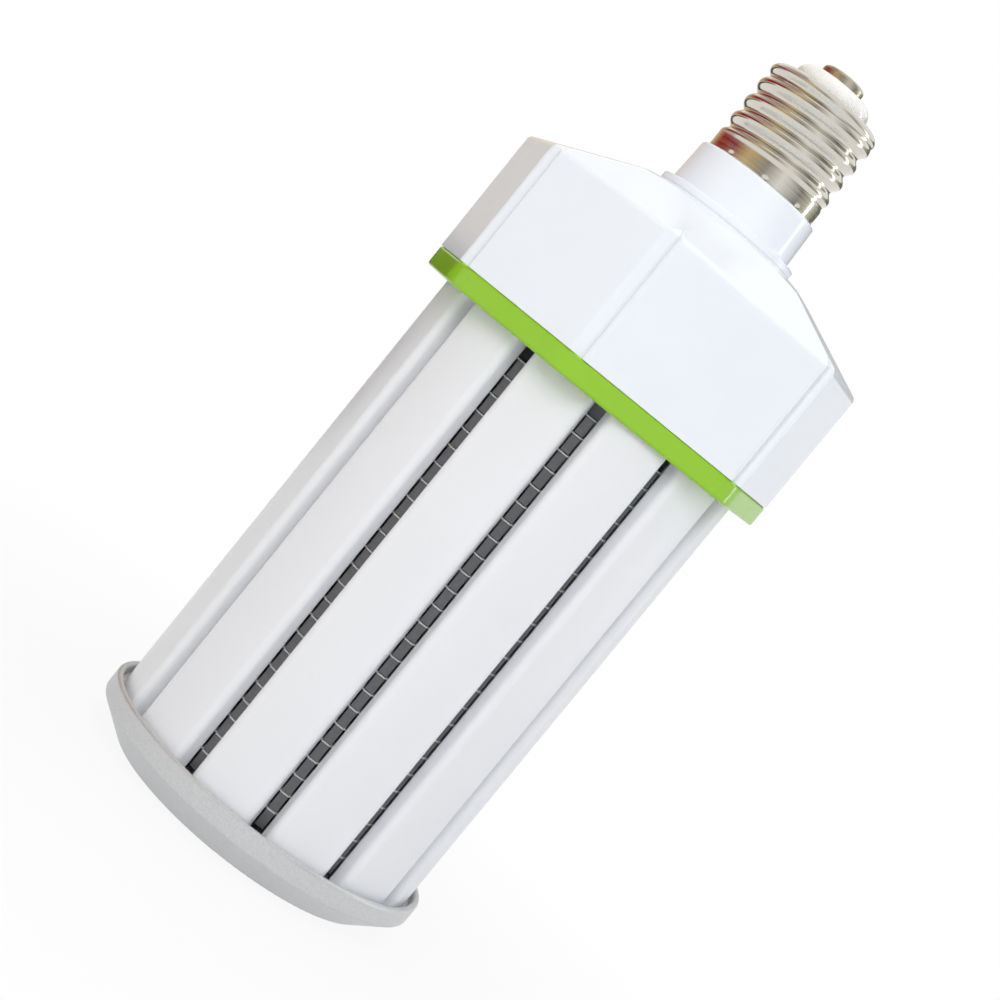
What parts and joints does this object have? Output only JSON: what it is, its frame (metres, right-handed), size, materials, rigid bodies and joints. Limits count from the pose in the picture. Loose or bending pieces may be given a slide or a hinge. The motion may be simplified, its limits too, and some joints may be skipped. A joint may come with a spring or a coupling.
{
  "type": "corn led bulb",
  "caption": "Corn LED lamp: frosted light bars round a stack of cooling fins, eight-sided white driver housing, green trim ring, silver end cap and a large screw base.",
  "frame": {"origin": "centre of the flat end cover that the lamp stands on", "axes": "+Z along the lamp's axis from the closed end towards the screw base; -Y is the front of the picture"},
  "size_m": [0.1275, 0.1277, 0.2914],
  "materials": {
    "white_housing": "moulded gloss white",
    "green_trim": "moulded gloss green",
    "plain_aluminium": "drawn",
    "fin_aluminium": "stamped sheet",
    "silver_cap": "satin silver paint",
    "frosted_cover": "frosted",
    "light_board": "white solder mask",
    "light_chip": "phosphor",
    "shell_metal": "rolled, nickel plated",
    "base_insulator": "fired white",
    "contact_metal": "pressed",
    "driver_board": "solder mask",
    "transformer": "wound and taped",
    "choke": "wound",
    "capacitor": "sleeved can",
    "fixing_steel": "zinc plated",
    "lead_insulation": "sleeved wire"
  },
  "bodies": {
    "root": {"bar_diffuser_01": "frosted_cover", "bar_diffuser_02": "frosted_cover", "bar_diffuser_03": "frosted_cover", "bar_diffuser_04": "frosted_cover", "bar_diffuser_05": "frosted_cover", "bar_diffuser_06": "frosted_cover", "bar_diffuser_07": "frosted_cover", "bar_diffuser_08": "frosted_cover", "bar_diffuser_09": "frosted_cover", "bar_diffuser_10": "frosted_cover", "bar_diffuser_11": "frosted_cover", "bar_diffuser_12": "frosted_cover", "bar_rail_01": "plain_aluminium", "bar_rail_02": "plain_aluminium", "bar_rail_03": "plain_aluminium", "bar_rail_04": "plain_aluminium", "bar_rail_05": "plain_aluminium", "bar_rail_06": "plain_aluminium", "bar_rail_07": "plain_aluminium", "bar_rail_08": "plain_aluminium", "bar_rail_09": "plain_aluminium", "bar_rail_10": "plain_aluminium", "bar_rail_11": "plain_aluminium", "bar_rail_12": "plain_aluminium", "base_insulator": "base_insulator", "base_leads": "lead_insulation", "board_screws": "fixing_steel", "board_standoffs": "fixing_steel", "capacitors": "capacitor", "centre_contact": "contact_metal", "choke": "choke", "cooling_fins": "fin_aluminium", "core_screws": "fixing_steel", "core_tube": "plain_aluminium", "driver_board": "driver_board", "driver_housing": "white_housing", "end_cap": "silver_cap", "end_cover": "frosted_cover", "end_leads": "lead_insulation", "end_led_board": "light_board", "end_led_chips": "light_chip", "end_screws": "fixing_steel", "housing_screws": "fixing_steel", "led_board_01": "light_board", "led_board_02": "light_board", "led_board_03": "light_board", "led_board_04": "light_board", "led_board_05": "light_board", "led_board_06": "light_board", "led_board_07": "light_board", "led_board_08": "light_board", "led_board_09": "light_board", "led_board_10": "light_board", "led_board_11": "light_board", "led_board_12": "light_board", "led_chips": "light_chip", "screw_shell": "shell_metal", "top_plate": "plain_aluminium", "transformer": "transformer", "trim_ring": "green_trim"}
  },
  "joints": []
}
